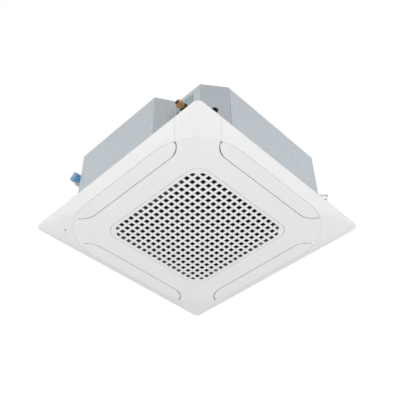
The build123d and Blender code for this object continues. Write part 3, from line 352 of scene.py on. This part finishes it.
coil_low, coil_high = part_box("coil_block")
COIL_OUT = coil_high.x          # middle to the coil's outer side
COIL_DEEP = 0.035
COIL_TURN = 0.095               # outer radius of its corners
COIL_START = 0.190              # its ends, from the middle
FIN_PITCH, FIN_THICK = 0.0021, 0.0004
TUBE_PITCH, TUBE_RADIUS, ROW_PITCH = 0.021, 0.0035, 0.0175
TUBE_LEVELS, TUBE_SIDES, TUBE_STEP = 10, 10, 0.02


def coil_line(inward, step):
    """Points and outward directions along the coil, a distance in from its outer side."""
    straight = COIL_OUT - COIL_TURN
    radius = COIL_TURN - inward
    line = [(Vector((-COIL_START, -COIL_OUT + inward)), Vector((0, -1)))]
    for turn, before in enumerate((COIL_START + straight, 2 * straight, 2 * straight)):
        spin = Matrix.Rotation(turn * pi / 2, 2)
        start = line[-1][0]
        along, out = spin @ Vector((1, 0)), spin @ Vector((0, -1))
        count = round(before / step)
        line += [(start + along * before * k / count, out) for k in range(1, count + 1)]
        middle = line[-1][0] - out * radius
        count = round(radius * pi / 2 / step)
        for k in range(1, count + 1):
            way = Matrix.Rotation(k * pi / 2 / count, 2) @ out
            line.append((middle + way * radius, way))
    start, out = line[-1]
    before = COIL_START + straight
    count = round(before / step)
    along = Vector((0, -1))
    line += [(start + along * before * k / count, out) for k in range(1, count + 1)]
    return line


def coil_fins():
    """Thin plates across the coil, fanned round its corners."""
    points, faces = [], []
    for place, out in coil_line(COIL_DEEP / 2, FIN_PITCH):
        aside = Vector((-out.y, out.x)) * FIN_THICK / 2
        start = len(points)
        for reach, side in ((-1, -1), (1, -1), (1, 1), (-1, 1)):
            spot = place + out * reach * COIL_DEEP / 2 + aside * side
            points += [(*spot, coil_low.z), (*spot, coil_high.z)]
        ring = [start, start + 2, start + 4, start + 6]
        faces += [(a, b, b + 1, a + 1) for a, b in zip(ring, ring[1:] + ring[:1])]
        faces += [tuple(reversed(ring)), tuple(k + 1 for k in ring)]
    return piece("coil_fins", points, faces, "fins")


def coil_tubes():
    """Two rows of tubes through the fins."""
    points, faces = [], []
    around = TUBE_SIDES
    for row in (-1, 1):
        line = coil_line(COIL_DEEP / 2 - row * ROW_PITCH / 2, TUBE_STEP)
        for level in range(TUBE_LEVELS):
            z = coil_low.z + TUBE_PITCH * (level + 0.5)
            first = len(points)
            for place, out in line:
                for k in range(around):
                    angle = 2 * pi * k / around
                    spot = place + out * cos(angle) * TUBE_RADIUS
                    points.append((*spot, z + sin(angle) * TUBE_RADIUS))
            for k in range(len(line) - 1):
                for m in range(around):
                    a, b = first + k * around + m, first + k * around + (m + 1) % around
                    faces.append((a, a + around, b + around, b))
    return piece("coil_tubes", points, faces, "copper", smooth=True)


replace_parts(coil_fins(), "coil_block")
coil_tubes()


# ---- stage --------------------------------------------------------------------------
WORLD_STRENGTH = 0.70
# Patch of the world that shows dimmer in reflections: its direction, edges and brightness.
DIM_WAY, DIM_SPAN, DIM_STRENGTH = (-0.45, -0.45, 0.77), (0.35, 0.95), 0.72
FLOOR_HALF, FLOOR_Z, FLOOR_GLOW = 60.0, -4.4, 0.2
FRAME_PX, FOCAL_PX, SENSOR_MM = 400, 643.4, 36.0


def maths(tree, operation, *inputs):
    made = tree.nodes.new("ShaderNodeMath")
    made.operation = operation
    for socket, value in zip(made.inputs, inputs):
        if isinstance(value, bpy.types.NodeSocket):
            tree.links.new(value, socket)
        else:
            socket.default_value = value
    return made.outputs[0]


def light_path(tree, names=("Is Glossy Ray", "Is Transmission Ray")):
    """1 for a ray that shows the background: from the camera, a reflection or through glass."""
    path = tree.nodes.new("ShaderNodeLightPath")
    shown = path.outputs["Is Camera Ray"]
    for name in names:
        shown = maths(tree, "MAXIMUM", shown, path.outputs[name])
    return shown


def floor():
    """Pale floor under the unit, below the camera and the lamps."""
    corners = [(x * FLOOR_HALF, y * FLOOR_HALF, FLOOR_Z)
               for x, y in ((-1, -1), (1, -1), (1, 1), (-1, 1))]
    mesh = bpy.data.meshes.new("floor")
    mesh.from_pydata(corners, [], [(0, 1, 2, 3)])
    made = bpy.data.objects.new("floor", mesh)
    bpy.context.scene.collection.objects.link(made)
    material = bpy.data.materials.new("floor")
    material.use_nodes = True
    tree = material.node_tree
    shader = tree.nodes["Principled BSDF"]
    shader.inputs["Base Color"].default_value = (0.86, 0.86, 0.86, 1)
    shader.inputs["Roughness"].default_value = 0.9
    shader.inputs["Specular IOR Level"].default_value = 0.1
    shader.inputs["Emission Color"].default_value = (1, 1, 1, 1)
    glow = maths(tree, "MULTIPLY", light_path(tree), FLOOR_GLOW)
    tree.links.new(glow, shader.inputs["Emission Strength"])
    mesh.materials.append(material)


def world():
    """Even studio light, seen as white, with a dimmer patch overhead in reflections."""
    made = bpy.data.worlds.new("studio")
    bpy.context.scene.world = made
    made.use_nodes = True
    tree = made.node_tree
    shade = tree.nodes["Background"]
    place = tree.nodes.new("ShaderNodeTexCoord").outputs["Generated"]
    aim = tree.nodes.new("ShaderNodeVectorMath")
    aim.operation = "DOT_PRODUCT"
    aim.inputs[1].default_value = DIM_WAY
    tree.links.new(place, aim.inputs[0])
    patch = tree.nodes.new("ShaderNodeMapRange")
    patch.interpolation_type = "SMOOTHSTEP"
    for socket, value in zip(patch.inputs[1:5], (*DIM_SPAN, 1.0, DIM_STRENGTH)):
        socket.default_value = value
    tree.links.new(aim.outputs["Value"], patch.inputs[0])
    seen = light_path(tree, ("Is Transmission Ray",))
    glossy = tree.nodes.new("ShaderNodeLightPath").outputs["Is Glossy Ray"]
    plain = maths(tree, "SUBTRACT", 1.0, maths(tree, "MAXIMUM", seen, glossy))
    power = maths(tree, "MULTIPLY_ADD", plain, WORLD_STRENGTH, seen)
    only = maths(tree, "MULTIPLY", glossy, maths(tree, "SUBTRACT", 1.0, seen))
    strength = maths(tree, "MULTIPLY_ADD", only, patch.outputs[0], power)
    tree.links.new(strength, shade.inputs["Strength"])
    shade.inputs["Color"].default_value = (1, 1, 1, 1)


def lamp(name, place, aim, size, power):
    """Soft square lamp pointed at a spot."""
    data = bpy.data.lights.new(name, "AREA")
    data.size = size
    data.energy = power
    made = bpy.data.objects.new(name, data)
    made.location = place
    made.rotation_mode = "QUATERNION"
    made.rotation_quaternion = (Vector(aim) - Vector(place)).to_track_quat("-Z", "Y")
    made.visible_camera = False
    made.visible_glossy = False
    bpy.context.scene.collection.objects.link(made)


def camera():
    """Camera solved from the photograph's perspective, for a square frame."""
    data = bpy.data.cameras.new("camera")
    data.sensor_width = SENSOR_MM
    data.lens = FOCAL_PX / FRAME_PX * SENSOR_MM
    data.clip_start, data.clip_end = 0.01, 200.0
    made = bpy.data.objects.new("camera", data)
    right = Vector((0.70274, -0.71140, -0.00778))
    down = Vector((0.48248, 0.48459, -0.72965))
    forward = Vector((0.52284, 0.50900, 0.68378))
    made.matrix_world = Matrix.Translation((-1.4483, -1.4261, -1.7522)) @ Matrix(
        (right, -down, -forward)).transposed().to_4x4()
    bpy.context.scene.collection.objects.link(made)
    bpy.context.scene.camera = made


floor()
world()
lamp("key", (-3.31, -0.68, -2.01), (-0.23, -0.08, 0.47), 2.24, 48.6)
lamp("fill", (0.85, -3.39, -1.91), (0.05, -0.16, 0.31), 2.22, 35.0)
lamp("top", (0.5, 1.0, 3.0), (0, 0, 0.2), 2.5, 60.0)
camera()
bpy.context.scene.view_settings.view_transform = "Standard"
